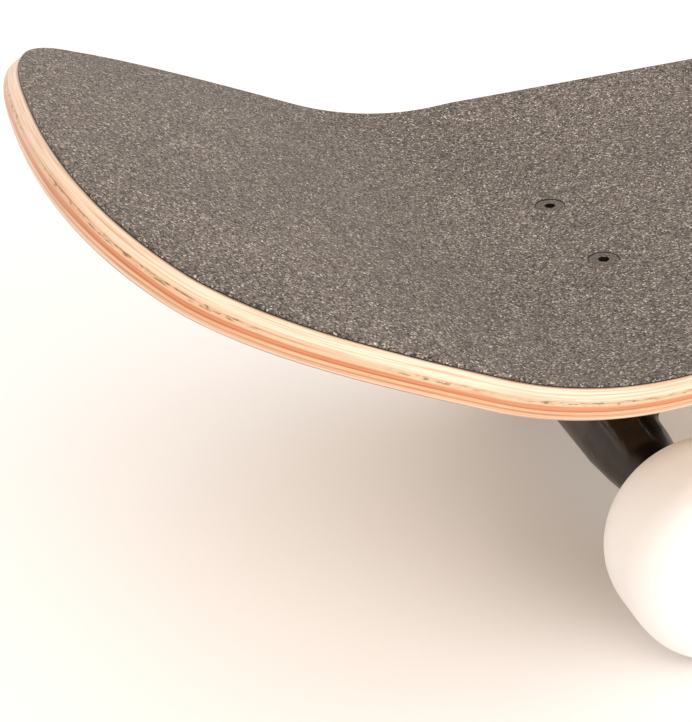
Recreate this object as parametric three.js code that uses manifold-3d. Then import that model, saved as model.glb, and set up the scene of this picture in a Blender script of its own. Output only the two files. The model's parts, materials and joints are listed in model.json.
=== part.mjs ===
// A complete street skateboard: deck with a kicktail and a kicked nose, grip tape, two trucks
// that steer, four wheels that roll. Every separate piece is one mesh with its own name.
// Millimetres, +Z up, the floor at z = 0, the tail towards -X and the nose towards +X.
import * as THREE from 'three';
import { ParametricGeometry } from 'three/addons/geometries/ParametricGeometry.js';
import { mergeVertices } from 'three/addons/utils/BufferGeometryUtils.js';
import Module from 'manifold-3d';

const wasm = await Module();
wasm.setup();

const DEG = Math.PI / 180;
const GAP = 0.3; // air left between two parts that touch
const OVERCUT = 4; // how far a cutting tool runs past the face it opens

// Deck: plan sizes are measured along the bent surface.
const DECK_WIDTH = 205;
const DECK_THICK = 9.1; // seven plies of 1.3 mm
const INNER_HOLES = 362; // between the inner bolt holes of the two trucks
const HOLE_LONG = 53.98; // bolt pattern along the board
const HOLE_WIDE = 41.28; // bolt pattern across the board
const TAIL_LENGTH = 174; // outer bolt holes to the end of the tail
const NOSE_LENGTH = 179; // outer bolt holes to the end of the nose
const KICK_START = 5.3; // flat left outside the outer bolt holes
const KICK_RADIUS = 112;
const KICK_ANGLE = 30.2 * DEG;
const CONCAVE = 7.1; // how far the long edges rise above the middle
const CONCAVE_FADE = 0.5; // share of a kicked end over which the concave dies out
const CONCAVE_LEAST = -4.5; // past that the edges turn down a little
const CONCAVE_FLAT = 0.2; // share of the half width that stays flat
const TAPER_START = -32; // where the plan shape starts to narrow, from the outer bolt holes
const TIP_LONG_POWER = 6.6; // how square the ends are in plan, along
const TIP_WIDE_POWER = 2.55; // and across
const EDGE_INSET = 2.2; // rounding of the deck's edge, in plan
const EDGE_DROP = 2.2; // and through the thickness
const SPINE_SHORT = 62; // the middle line of the mesh stops this far from each tip
const TIP_STEPS = 12;
const KICK_STEPS = 7;
const TOP_SHARES = [0, 0.2, 0.5, 0.78];

// Grip tape
const GRIP_THICK = 1.0;

// Mounting bolts and lock nuts
const BOLT_RADIUS = 2.4;
const BOLT_LENGTH = 25.4;
const BOLT_HEAD = 4.5;
const BOLT_HEAD_HIGH = 2.4;
const BOLT_PROUD = 0.9; // the head's top over the deck, just under the grip's face
const BOLT_SOCKET = 3.2; // across flats
const BOLT_SOCKET_DEEP = 2.4;
const BOLT_HOLE = BOLT_RADIUS + 0.5;
const GRIP_HOLE = BOLT_HEAD + GAP;
const LOCK_NUT = 9.5; // across flats
const LOCK_NUT_HIGH = 6;
const SMALL_ROUND = 12; // facets of a small round part

// Wheels and bearings
const WHEEL_RADIUS = 30;
const WHEEL_WIDE = 43;
const TREAD_WIDE = 14.6;
const WHEEL_FACETS = 24;

const BEARING_RADIUS = 11;
const BEARING_WIDE = 7;
const BEARING_SPACER = 10;
const SPACER_RADIUS = 5.3;
const SEAT_SLACK = 0.3;
const WHEEL_WALL = BEARING_RADIUS - 1.8; // bore between the two bearings
const ROUND = 16;

// Truck, in its own frame: x outwards along the board, y across, z up, the origin in the middle
// of the bolt pattern on the deck's underside.
const AXLE_AT = new THREE.Vector3(21, 0, -53);
const RING_AT = new THREE.Vector3(-8, 0, -33);
const PIVOT_AT = new THREE.Vector3(35, 0, -16);
const KINGPIN_LEAN = 27 * DEG;
const HANGER_HALF = 70;
const SPEED_WASHER = 1;
const AXLE_RADIUS = 3.97;
const AXLE_BORE = AXLE_RADIUS + 0.33;
const BEARING_BORE = AXLE_RADIUS + GAP;
const AXLE_NUT = 12.7; // across flats
const AXLE_NUT_HIGH = 6;
const HANGER_MIDDLE = 12.5; // radius of the hanger's body in the middle
const HANGER_END = 7.2; // and at its ends
const WEB_HIGH = 24.5;
const WEB_THICK = 9;
const YOKE_RADIUS = 17.5;
const YOKE_THICK = 9;
const YOKE_BORE = 8;
const CUP_DEEP = 2.5;
const SPINE_WIDE = 16;
const PIN_RADIUS = 5.5;
const PIN_LENGTH = 16;
const PIVOT_CUP = 8;
const PIVOT_CUP_BORE = PIN_RADIUS + 0.4;
const TOWER_RADIUS = 11.5;
const TOWER_IN = 6;
const TOWER_OUT = 10;

// Stations along the kingpin, from the middle of the hanger's ring, positive towards the floor.
const ROAD_BUSHING_END = 13;
const BOARD_BUSHING_END = -16.5;
const WASHER_THICK = 2;
const SEAT = BOARD_BUSHING_END - WASHER_THICK - 2 * GAP;
const SEAT_WALL = 6.8;
const KINGPIN_RADIUS = 4.76;
const KINGPIN_END = 25;
const KINGPIN_HEAD = 14.3; // across flats
const KINGPIN_HEAD_HIGH = 4.8;
const KINGPIN_NUT = 14.3;
const KINGPIN_NUT_HIGH = 7;
const KINGPIN_BORE = KINGPIN_RADIUS + 0.39;
const BUSHING_RADIUS = 12.3;
const CUP_RADIUS = BUSHING_RADIUS + 0.5;
const BUSHING_TIP = 8.6;
const WASHER_RADIUS = 12.6;
const SMALL_WASHER_RADIUS = 10;

// Baseplate
const PLATE_IN = 37;
const PLATE_OUT = 45;
const PLATE_WIDE = 56;
const PLATE_THICK = 5;
const PLATE_CORNER = 8;
const BOSS_RADIUS = 13.5;

const OUTER_HOLES = INNER_HOLES / 2 + HOLE_LONG;
const TRUCK_AT = INNER_HOLES / 2 + HOLE_LONG / 2;
const DECK_UNDER = WHEEL_RADIUS - AXLE_AT.z;
const DECK_TOP = DECK_UNDER + DECK_THICK;
const HALF_WIDTH = DECK_WIDTH / 2;
const KICK_AT = OUTER_HOLES + KICK_START;
const WHEEL_AT = HANGER_HALF + SPEED_WASHER + BEARING_WIDE + BEARING_SPACER / 2;
const AXLE_LENGTH = 2 * (WHEEL_AT + BEARING_SPACER / 2 + BEARING_WIDE + SPEED_WASHER + AXLE_NUT_HIGH + 1.5);
const Y_AXIS = new THREE.Vector3(0, 1, 0);
const KINGPIN_DIR = new THREE.Vector3(-Math.sin(KINGPIN_LEAN), 0, -Math.cos(KINGPIN_LEAN));
const YOKE_DIR = new THREE.Vector3(Math.cos(KINGPIN_LEAN), 0, -Math.sin(KINGPIN_LEAN));
const PIVOT_DIR = PIVOT_AT.clone().sub(RING_AT).normalize();

const clamp = (value, low, high) => Math.min(Math.max(value, low), high);

// ---------------------------------------------------------------- helpers

// Turn a three.js geometry into a closed solid: weld it, drop flat triangles, face it outwards.
function solid(geometry) {
  const bare = geometry.index ? geometry.clone() : mergeVertices(geometry.clone());
  for (const name of Object.keys(bare.attributes)) {
    if (name !== 'position') bare.deleteAttribute(name);
  }
  const welded = mergeVertices(bare, 1e-4);
  const at = welded.attributes.position;
  const corners = welded.index.array;
  const point = (i) => new THREE.Vector3().fromBufferAttribute(at, i);
  const kept = [];
  let volume = 0;
  for (let i = 0; i < corners.length; i += 3) {
    const [a, b, c] = [corners[i], corners[i + 1], corners[i + 2]];
    if (a === b || b === c || c === a) continue;
    kept.push([a, b, c]);
    volume += point(a).dot(point(b).cross(point(c)));
  }
  const triangles = kept.flatMap(([a, b, c]) => (volume < 0 ? [a, c, b] : [a, b, c]));
  return new wasm.Manifold(new wasm.Mesh({
    numProp: 3,
    vertProperties: Float32Array.from(at.array),
    triVerts: Uint32Array.from(triangles),
  }));
}

function geometryOf(body) {
  const mesh = body.getMesh();
  const geometry = new THREE.BufferGeometry();
  geometry.setAttribute('position', new THREE.BufferAttribute(Float32Array.from(mesh.vertProperties), 3));
  geometry.setIndex(new THREE.BufferAttribute(Uint32Array.from(mesh.triVerts), 1));
  geometry.computeVertexNormals();
  return geometry;
}

// Stand a geometry made about +Y on a line through `origin` along `direction`.
function along(geometry, origin, direction) {
  const turn = new THREE.Quaternion().setFromUnitVectors(Y_AXIS, direction.clone().normalize());
  return geometry.applyQuaternion(turn).translate(origin.x, origin.y, origin.z);
}

// A solid of revolution about +Y from [radius, height] pairs that start and end on the axis.
function turned(pairs, facets) {
  return new THREE.LatheGeometry(pairs.map(([r, h]) => new THREE.Vector2(r, h)), facets);
}

// The same for a ring: the last pair joins the first one.
function ring(pairs, facets) {
  return turned([...pairs, pairs[0]], facets);
}

function rod(radius, from, to, facets) {
  return turned([[0, from], [radius, from], [radius, to], [0, to]], facets);
}

function tube(inner, outer, from, to, facets) {
  return ring([[inner, from], [outer, from], [outer, to], [inner, to]], facets);
}

function hexagon(flats, from, to) {
  return rod(flats / 2 / Math.cos(Math.PI / 6), from, to, 6);
}

function hexNut(flats, bore, high) {
  const corner = flats / 2 / Math.cos(Math.PI / 6);
  const outline = new THREE.Shape();
  for (let i = 0; i < 6; i += 1) {
    const turn = (i / 6) * 2 * Math.PI;
    const [x, y] = [corner * Math.cos(turn), corner * Math.sin(turn)];
    if (i === 0) outline.moveTo(x, y);
    else outline.lineTo(x, y);
  }
  outline.closePath();
  const hole = new THREE.Path();
  hole.absarc(0, 0, bore, 0, 2 * Math.PI, true);
  outline.holes.push(hole);
  const nut = new THREE.ExtrudeGeometry(outline, { depth: high, bevelEnabled: false, curveSegments: SMALL_ROUND });
  return nut.rotateX(-Math.PI / 2);
}

// A flat plate drawn in two directions and given a thickness along the third, centred on its plane.
function plate(outline, thick, xDir, yDir, origin, curveSegments = 8) {
  const geometry = new THREE.ExtrudeGeometry(outline, { depth: thick, bevelEnabled: false, curveSegments });
  const zDir = xDir.clone().cross(yDir);
  const frame = new THREE.Matrix4().makeBasis(xDir, yDir, zDir).setPosition(origin);
  return geometry.translate(0, 0, -thick / 2).applyMatrix4(frame);
}

function polygon(pairs) {
  return new THREE.Shape(pairs.map(([x, y]) => new THREE.Vector2(x, y)));
}

const joined = (bodies) => bodies.reduce((sum, body) => sum.add(body));
const cutBy = (body, tools) => tools.reduce((rest, tool) => rest.subtract(tool), body);

const object = new THREE.Group();
object.name = 'skateboard';

function add(name, geometry, colour, roughness, metalness = 0) {
  const material = new THREE.MeshStandardMaterial({ color: colour, roughness, metalness });
  const mesh = new THREE.Mesh(geometryOf(solid(geometry)), material);
  mesh.name = name;
  object.add(mesh);
}

// ---------------------------------------------------------------- deck

// Where a point of the flat pattern goes: s along the board, y across, depth below the top face.
function place(s, y, depth) {
  const side = s < 0 ? -1 : 1;
  const past = Math.max(Math.abs(s) - KICK_AT, 0);
  const turn = Math.min(past / KICK_RADIUS, KICK_ANGLE);
  const rest = Math.max(past - KICK_RADIUS * KICK_ANGLE, 0);
  const out = Math.min(Math.abs(s), KICK_AT) + KICK_RADIUS * Math.sin(turn) + rest * Math.cos(KICK_ANGLE);
  const up = KICK_RADIUS * (1 - Math.cos(turn)) + rest * Math.sin(KICK_ANGLE);
  const tip = (side < 0 ? TAIL_LENGTH : NOSE_LENGTH) - KICK_START;
  const rise = Math.max(CONCAVE * (1 - past / tip / CONCAVE_FADE), CONCAVE_LEAST);
  const bend = Math.max(Math.abs(y) / HALF_WIDTH - CONCAVE_FLAT, 0) / (1 - CONCAVE_FLAT);
  const lift = rise * bend * bend - depth;
  return new THREE.Vector3(side * (out - lift * Math.sin(turn)), y, DECK_TOP + up + lift * Math.cos(turn));
}

function halfWidthAt(s) {
  const reach = (s < 0 ? TAIL_LENGTH : NOSE_LENGTH) - TAPER_START;
  const t = clamp((Math.abs(s) - OUTER_HOLES - TAPER_START) / reach, 0, 1);
  return HALF_WIDTH * (1 - t ** TIP_LONG_POWER) ** (1 / TIP_WIDE_POWER);
}

// Stations along the board, closer together round the ends and over the two bends.
function stations() {
  const list = [0];
  for (const [side, length] of [[-1, TAIL_LENGTH], [1, NOSE_LENGTH]]) {
    for (let i = 0; i <= KICK_STEPS; i += 1) {
      list.push(side * (KICK_AT + KICK_RADIUS * KICK_ANGLE * (i / KICK_STEPS)));
    }
    for (let i = 0; i < TIP_STEPS; i += 1) {
      const t = Math.cos((Math.PI / 2) * (i / TIP_STEPS)) ** (2 / TIP_LONG_POWER);
      const s = OUTER_HOLES + TAPER_START + (length - TAPER_START) * t;
      if (s > KICK_AT + KICK_RADIUS * KICK_ANGLE + 3) list.push(side * s);
    }
  }
  return list.sort((a, b) => a - b);
}

// The closed plan outline with, at each point, the direction that leads inwards.
function planOutline() {
  const line = stations();
  const near = line.map((s) => [s, -halfWidthAt(s)]);
  const far = line.slice(1, -1).reverse().map((s) => [s, halfWidthAt(s)]);
  const points = [...near, ...far].map(([s, y]) => new THREE.Vector2(s, y));
  return points.map((point, i) => {
    const before = points[(i + points.length - 1) % points.length];
    const after = points[(i + 1) % points.length];
    const run = after.clone().sub(before).normalize();
    return { point, inward: new THREE.Vector2(-run.y, run.x) };
  });
}

const OUTLINE = planOutline();
const SPINE_TAIL = -(OUTER_HOLES + TAIL_LENGTH - SPINE_SHORT);
const SPINE_NOSE = OUTER_HOLES + NOSE_LENGTH - SPINE_SHORT;

// A thin sheet that follows the deck: rings run from the middle of the top face, over the edge,
// to the middle of the bottom face. Each ring is [share of the way out, inset, depth].
function sheet(rings) {
  const target = (u, v, out) => {
    const { point, inward } = OUTLINE[Math.round(u * OUTLINE.length) % OUTLINE.length];
    const [share, inset, depth] = rings[Math.round(v * (rings.length - 1))];
    const edge = point.clone().addScaledVector(inward, inset);
    const spine = new THREE.Vector2(clamp(edge.x, SPINE_TAIL, SPINE_NOSE), 0);
    const at = spine.lerp(edge, share);
    out.copy(place(at.x, at.y, depth));
  };
  return new ParametricGeometry(target, OUTLINE.length, rings.length - 1);
}

function boltPlaces() {
  const places = [];
  for (const [end, side] of [['tail', -1], ['nose', 1]]) {
    let count = 0;
    for (const along of [-0.5, 0.5]) {
      for (const across of [-0.5, 0.5]) {
        count += 1;
        places.push({ end, count, x: side * TRUCK_AT + along * HOLE_LONG, y: across * HOLE_WIDE });
      }
    }
  }
  return places;
}

const BOLTS = boltPlaces();

function uprightAt(geometry, x, y, z) {
  return geometry.rotateX(Math.PI / 2).translate(x, y, z);
}

function deck() {
  const top = TOP_SHARES.map((share) => [share, EDGE_INSET, 0]);
  const edge = [
    [1, EDGE_INSET, 0],
    [1, EDGE_INSET / 3, EDGE_DROP],
    [1, 0, DECK_THICK / 2],
    [1, EDGE_INSET / 3, DECK_THICK - EDGE_DROP],
    [1, EDGE_INSET, DECK_THICK],
  ];
  const bottom = [...TOP_SHARES].reverse().map((share) => [share, EDGE_INSET, DECK_THICK]);
  const wide = BOLT_HEAD + 0.4;
  const sink = BOLT_HEAD_HIGH + 0.1;
  const tool = [[0, -OVERCUT], [wide, -OVERCUT], [wide, 0], [BOLT_HOLE, sink],
    [BOLT_HOLE, DECK_THICK + OVERCUT], [0, DECK_THICK + OVERCUT]];
  const tools = BOLTS.map(({ x, y }) => solid(uprightAt(
    turned(tool.map(([r, h]) => [r, -h]), SMALL_ROUND), x, y, DECK_TOP)));
  return geometryOf(cutBy(solid(sheet([...top, ...edge, ...bottom])), tools));
}

// Its rings start in the middle of the underside, so that its facets split as the deck's top does.
function gripTape() {
  const upper = -(GAP + GRIP_THICK);
  const rings = [
    ...TOP_SHARES.map((share) => [share, EDGE_INSET, -GAP]),
    [1, EDGE_INSET, -GAP],
    [1, EDGE_INSET, upper],
    ...[...TOP_SHARES].reverse().map((share) => [share, EDGE_INSET, upper]),
  ];
  const tools = BOLTS.map(({ x, y }) => solid(uprightAt(
    rod(GRIP_HOLE, -OVERCUT, OVERCUT, SMALL_ROUND), x, y, DECK_TOP)));
  return geometryOf(cutBy(solid(sheet(rings)), tools));
}

function mountingBolt(x, y) {
  const body = solid(turned([
    [0, BOLT_PROUD], [BOLT_HEAD, BOLT_PROUD], [BOLT_HEAD, -GAP - 0.2], [BOLT_RADIUS, -GAP - BOLT_HEAD_HIGH],
    [BOLT_RADIUS, -BOLT_LENGTH + 0.6], [BOLT_RADIUS - 0.6, -BOLT_LENGTH], [0, -BOLT_LENGTH],
  ], SMALL_ROUND));
  const socket = solid(hexagon(BOLT_SOCKET, BOLT_PROUD - BOLT_SOCKET_DEEP, OVERCUT));
  return geometryOf(body.subtract(socket)).rotateX(Math.PI / 2).translate(x, y, DECK_TOP);
}

function lockNut(x, y) {
  const top = DECK_UNDER - PLATE_THICK - 2 * GAP;
  return hexNut(LOCK_NUT, BOLT_RADIUS + GAP, LOCK_NUT_HIGH).rotateX(Math.PI / 2)
    .translate(x, y, top - LOCK_NUT_HIGH);
}

// ---------------------------------------------------------------- truck

// One of the solids that sit on the kingpin, given by its stations.
const onKingpin = (geometry) => along(geometry, RING_AT, KINGPIN_DIR);
const onPivot = (geometry) => along(geometry, PIVOT_AT, PIVOT_DIR);

function baseplate() {
  const half = PLATE_WIDE / 2;
  const c = PLATE_CORNER;
  const rim = new THREE.Shape();
  rim.moveTo(-PLATE_IN + c, -half);
  rim.lineTo(PLATE_OUT - c, -half);
  rim.quadraticCurveTo(PLATE_OUT, -half, PLATE_OUT, -half + c);
  rim.lineTo(PLATE_OUT, half - c);
  rim.quadraticCurveTo(PLATE_OUT, half, PLATE_OUT - c, half);
  rim.lineTo(-PLATE_IN + c, half);
  rim.quadraticCurveTo(-PLATE_IN, half, -PLATE_IN, half - c);
  rim.lineTo(-PLATE_IN, -half + c);
  rim.quadraticCurveTo(-PLATE_IN, -half, -PLATE_IN + c, -half);
  const slab = new THREE.ExtrudeGeometry(rim, { depth: PLATE_THICK, bevelEnabled: false, curveSegments: 3 })
    .translate(0, 0, -GAP - PLATE_THICK);
  const headTop = SEAT - SEAT_WALL - GAP - KINGPIN_HEAD_HIGH;
  const boss = onKingpin(rod(BOSS_RADIUS, headTop - OVERCUT, SEAT, 20));
  const tower = onPivot(rod(TOWER_RADIUS, -TOWER_IN, TOWER_OUT, 20));
  const sideX = new THREE.Vector3(1, 0, 0);
  const sideZ = new THREE.Vector3(0, 0, 1);
  const origin = new THREE.Vector3();
  const low = -GAP - PLATE_THICK / 2;
  const block = plate(polygon([
    [PIVOT_AT.x - 8, low], [PLATE_OUT, low], [PLATE_OUT, -12], [PLATE_OUT - 6, -16], [PIVOT_AT.x - 5, -16],
  ]),
    SPINE_WIDE + 4, sideX, sideZ, origin);
  const spine = plate(polygon([[-8, low], [PIVOT_AT.x, low], [PIVOT_AT.x - 4, -8.4], [0, -8.4]]),
    10, sideX, sideZ, origin);
  const cover = plate(polygon([[-60, -GAP], [60, -GAP], [60, 40], [-60, 40]]), 80, sideX, sideZ, origin);
  const tools = [
    solid(cover),
    solid(onKingpin(rod(KINGPIN_BORE, headTop - 20, SEAT + OVERCUT, ROUND))),
    solid(onKingpin(hexagon(KINGPIN_HEAD + 0.8, headTop - 20, SEAT - SEAT_WALL))),
    solid(onPivot(rod(PIVOT_CUP + GAP, -TOWER_IN - OVERCUT, PIVOT_CUP, ROUND))),
  ];
  for (const x of [-HOLE_LONG / 2, HOLE_LONG / 2]) {
    for (const y of [-HOLE_WIDE / 2, HOLE_WIDE / 2]) {
      tools.push(solid(uprightAt(rod(BOLT_HOLE, -OVERCUT, PLATE_THICK + OVERCUT, SMALL_ROUND),
        x, y, -PLATE_THICK)));
    }
  }
  return geometryOf(cutBy(joined([slab, boss, tower, block, spine].map(solid)), tools));
}

function pivotCup() {
  const deep = PIVOT_CUP - GAP;
  const bowl = [];
  for (let i = 0; i <= 4; i += 1) {
    const turn = (i / 4) * (Math.PI / 2);
    bowl.push([PIVOT_CUP_BORE * Math.cos(turn), PIVOT_CUP_BORE * Math.sin(turn)]);
  }
  const outside = [[0, deep], [PIVOT_CUP, deep], [PIVOT_CUP, -TOWER_IN], [PIVOT_CUP_BORE, -TOWER_IN]];
  return onPivot(turned([...outside, ...bowl], ROUND));
}

function kingpin() {
  const head = SEAT - SEAT_WALL - GAP;
  const shank = solid(onKingpin(turned([
    [0, head - 1], [KINGPIN_RADIUS, head - 1], [KINGPIN_RADIUS, KINGPIN_END - 0.8],
    [KINGPIN_RADIUS - 0.8, KINGPIN_END], [0, KINGPIN_END],
  ], ROUND)));
  return geometryOf(shank.add(solid(onKingpin(hexagon(KINGPIN_HEAD, head - KINGPIN_HEAD_HIGH, head)))));
}

function kingpinNut() {
  const start = ROAD_BUSHING_END + WASHER_THICK + 2 * GAP;
  return onKingpin(hexNut(KINGPIN_NUT, KINGPIN_BORE, KINGPIN_NUT_HIGH).translate(0, start, 0));
}

function cupWasher(radius, bushingFace, way) {
  const near = bushingFace + way * GAP;
  const far = near + way * WASHER_THICK;
  return onKingpin(ring([
    [KINGPIN_BORE, near], [radius - 1.4, near], [radius, near - way * 1.4], [radius + 0.6, near - way * 1.4],
    [radius + 0.6, near + way * 0.4], [radius - 1, far], [KINGPIN_BORE, far],
  ], ROUND));
}

function boardBushing() {
  const start = -(YOKE_THICK / 2 - CUP_DEEP) - GAP;
  const waist = (start + BOARD_BUSHING_END) / 2;
  return onKingpin(ring([
    [KINGPIN_BORE, start], [BUSHING_RADIUS, start], [BUSHING_RADIUS, start - 3],
    [BUSHING_RADIUS - 0.8, waist], [BUSHING_RADIUS - 1.4, BOARD_BUSHING_END + 3],
    [WASHER_RADIUS - 1.8, BOARD_BUSHING_END], [KINGPIN_BORE, BOARD_BUSHING_END],
  ], ROUND));
}

function roadBushing() {
  const start = YOKE_THICK / 2 - CUP_DEEP + GAP;
  return onKingpin(ring([
    [KINGPIN_BORE, start], [BUSHING_RADIUS, start], [BUSHING_RADIUS, start + 2.6],
    [BUSHING_TIP, ROAD_BUSHING_END - 1], [BUSHING_TIP - 0.6, ROAD_BUSHING_END], [KINGPIN_BORE, ROAD_BUSHING_END],
  ], ROUND));
}

function hanger() {
  const body = turned([
    [0, -HANGER_HALF], [HANGER_END, -HANGER_HALF], [HANGER_END + 0.5, -63], [9.4, -48], [11.6, -30],
    [HANGER_MIDDLE, -18], [HANGER_MIDDLE, 18], [11.6, 30], [9.4, 48], [HANGER_END + 0.5, 63],
    [HANGER_END, HANGER_HALF], [0, HANGER_HALF],
  ], 20).translate(AXLE_AT.x, AXLE_AT.y, AXLE_AT.z);

  const rise = PIVOT_AT.clone().sub(AXLE_AT).normalize();
  const wing = new THREE.Shape();
  wing.moveTo(-62, -2);
  wing.lineTo(62, -2);
  wing.quadraticCurveTo(34, 13, 16, WEB_HIGH);
  wing.lineTo(-16, WEB_HIGH);
  wing.quadraticCurveTo(-34, 13, -62, -2);
  const web = plate(wing, WEB_THICK, Y_AXIS, rise, AXLE_AT, 6);

  // The nose that carries the pivot pin, drawn from the side.
  const up = new THREE.Vector3(-PIVOT_DIR.z, 0, PIVOT_DIR.x);
  const corner = (back, high) => {
    const at = PIVOT_AT.clone().addScaledVector(PIVOT_DIR, -back).addScaledVector(up, high);
    return [at.x, at.z];
  };
  const nose = plate(polygon([
    corner(TOWER_IN + 2, 6.5), corner(TOWER_IN + 2, -9),
    [AXLE_AT.x + 11, AXLE_AT.z + 5], [AXLE_AT.x, AXLE_AT.z - 3], [AXLE_AT.x - 10, AXLE_AT.z + 7],
    corner(19, -7), corner(15, 5),
  ]), SPINE_WIDE, new THREE.Vector3(1, 0, 0), new THREE.Vector3(0, 0, 1), new THREE.Vector3());

  const tip = [];
  for (let i = 0; i <= 4; i += 1) {
    const turn = (i / 4) * (Math.PI / 2);
    tip.push([PIN_RADIUS * Math.cos(turn), PIN_RADIUS * Math.sin(turn)]);
  }
  const pin = onPivot(turned([[0, -PIN_LENGTH], [PIN_RADIUS, -PIN_LENGTH], ...tip.slice(0, 4), [0, PIN_RADIUS]],
    ROUND));

  const yoke = new THREE.Shape();
  yoke.moveTo(26, -23);
  yoke.lineTo(26, 23);
  yoke.quadraticCurveTo(12, 17, 2, YOKE_RADIUS - 0.2);
  yoke.absarc(0, 0, YOKE_RADIUS, Math.PI / 2, 3 * Math.PI / 2, false);
  yoke.quadraticCurveTo(12, -17, 26, -23);
  const arm = plate(yoke, YOKE_THICK, YOKE_DIR, Y_AXIS, RING_AT, 12);

  const half = YOKE_THICK / 2;
  const tools = [
    onKingpin(rod(YOKE_BORE, -half - OVERCUT, half + OVERCUT, ROUND)),
    onKingpin(rod(CUP_RADIUS, half - CUP_DEEP, half + OVERCUT, 20)),
    onKingpin(rod(CUP_RADIUS, -half - OVERCUT, CUP_DEEP - half, 20)),
    rod(AXLE_BORE, -HANGER_HALF - OVERCUT, HANGER_HALF + OVERCUT, ROUND)
      .translate(AXLE_AT.x, AXLE_AT.y, AXLE_AT.z),
  ];
  return geometryOf(cutBy(joined([body, web, nose, pin, arm].map(solid)), tools.map(solid)));
}

const atAxle = (geometry) => geometry.translate(AXLE_AT.x, AXLE_AT.y, AXLE_AT.z);

function axle() {
  const half = AXLE_LENGTH / 2;
  return atAxle(turned([
    [0, -half], [AXLE_RADIUS - 0.8, -half], [AXLE_RADIUS, 0.8 - half],
    [AXLE_RADIUS, half - 0.8], [AXLE_RADIUS - 0.8, half], [0, half],
  ], ROUND));
}

// ---------------------------------------------------------------- wheels

function wheel(y) {
  const half = WHEEL_WIDE / 2;
  const wall = BEARING_SPACER / 2 - GAP;
  const seat = BEARING_RADIUS + SEAT_SLACK;
  const face = BEARING_SPACER / 2 + BEARING_WIDE;
  const grow = 1 / Math.cos(Math.PI / WHEEL_FACETS); // the flats, not the corners, reach the floor
  const side = [
    [WHEEL_WALL, wall], [seat, wall], [seat, face + 0.6], [seat + 2.2, face + 1],
    [WHEEL_RADIUS * 0.57, half - 1.2], [WHEEL_RADIUS * 0.62, half], [WHEEL_RADIUS * 0.68, half - 0.3],
    [WHEEL_RADIUS * 0.74, half * 0.94], [WHEEL_RADIUS * 0.88, half * 0.8], [WHEEL_RADIUS * 0.97, half * 0.56],
    [WHEEL_RADIUS, TREAD_WIDE / 2],
  ].map(([r, h]) => [r * grow, h]);
  const other = side.map(([r, h]) => [r, -h]).reverse();
  return atAxle(ring([...side, ...other], WHEEL_FACETS).rotateY(Math.PI / WHEEL_FACETS).translate(0, y, 0));
}

function bearing(y) {
  const half = BEARING_WIDE / 2;
  return atAxle(ring([
    [BEARING_BORE, -half], [BEARING_RADIUS - 0.4, -half], [BEARING_RADIUS, 0.4 - half],
    [BEARING_RADIUS, half - 0.4], [BEARING_RADIUS - 0.4, half], [BEARING_BORE, half],
  ], ROUND).translate(0, y, 0));
}

function spacer(y) {
  const half = BEARING_SPACER / 2 - GAP;
  return atAxle(tube(BEARING_BORE, SPACER_RADIUS, -half, half, SMALL_ROUND).translate(0, y, 0));
}

function axleNut(side) {
  const start = WHEEL_AT + BEARING_SPACER / 2 + BEARING_WIDE + SPEED_WASHER + GAP;
  const nut = hexNut(AXLE_NUT, AXLE_RADIUS + GAP, AXLE_NUT_HIGH).translate(0, start, 0);
  return atAxle(side < 0 ? nut.rotateX(Math.PI) : nut);
}

// ---------------------------------------------------------------- the whole board

const MAPLE = 0xe8cda6;
const GRIP = 0x4a4744;
const BLACK = 0x17171a;
const STEEL = 0xb8babd;
const URETHANE = 0xf2eadf;

add('deck', deck(), MAPLE, 0.45);
add('grip_tape', gripTape(), GRIP, 0.95);
for (const { end, count, x, y } of BOLTS) {
  add(`mounting_bolt_${end}_${count}`, mountingBolt(x, y), BLACK, 0.4, 0.8);
  add(`lock_nut_${end}_${count}`, lockNut(x, y), STEEL, 0.35, 0.9);
}

for (const [end, side] of [['tail', -1], ['nose', 1]]) {
  const frame = new THREE.Matrix4().makeRotationZ(side < 0 ? Math.PI : 0);
  frame.setPosition(side * TRUCK_AT, 0, DECK_UNDER);
  const put = (name, geometry, ...looks) => add(`${name}_${end}`, geometry.applyMatrix4(frame), ...looks);
  put('baseplate', baseplate(), BLACK, 0.3, 0.4);
  put('pivot_cup', pivotCup(), BLACK, 0.6);
  put('kingpin', kingpin(), STEEL, 0.3, 0.9);
  put('kingpin_nut', kingpinNut(), STEEL, 0.35, 0.9);
  put('board_washer', cupWasher(WASHER_RADIUS, BOARD_BUSHING_END, -1), STEEL, 0.3, 0.9);
  put('road_washer', cupWasher(SMALL_WASHER_RADIUS, ROAD_BUSHING_END, 1), STEEL, 0.3, 0.9);
  put('board_bushing', boardBushing(), BLACK, 0.5);
  put('road_bushing', roadBushing(), BLACK, 0.5);
  put('hanger', hanger(), BLACK, 0.25, 0.4);
  put('axle', axle(), STEEL, 0.3, 0.9);
  for (const [hand, way] of [['right', -1], ['left', 1]]) {
    // Left and right are the rider's, looking to the nose; the tail truck is turned round.
    const y = way * side * WHEEL_AT;
    const off = (BEARING_SPACER + BEARING_WIDE) / 2;
    put(`axle_nut_${hand}`, axleNut(way * side), STEEL, 0.35, 0.9);
    put(`wheel_${hand}`, wheel(y), URETHANE, 0.55);
    put(`bearing_inner_${hand}`, bearing(y - way * side * off), STEEL, 0.3, 0.9);
    put(`bearing_outer_${hand}`, bearing(y + way * side * off), STEEL, 0.3, 0.9);
    put(`bearing_spacer_${hand}`, spacer(y), STEEL, 0.4, 0.8);
  }
}

// Middle of the overall box over the origin.
const box = new THREE.Box3().setFromObject(object);
const middle = (box.min.x + box.max.x) / 2;
for (const mesh of object.children) mesh.geometry.translate(-middle, 0, 0);

export default object;
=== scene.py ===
import json
import math
from contextlib import contextmanager

import bpy
from bpy.props import FloatProperty, FloatVectorProperty, IntProperty, PointerProperty
from bpy.types import Operator, Panel, PropertyGroup
from mathutils import Matrix, Vector

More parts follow.
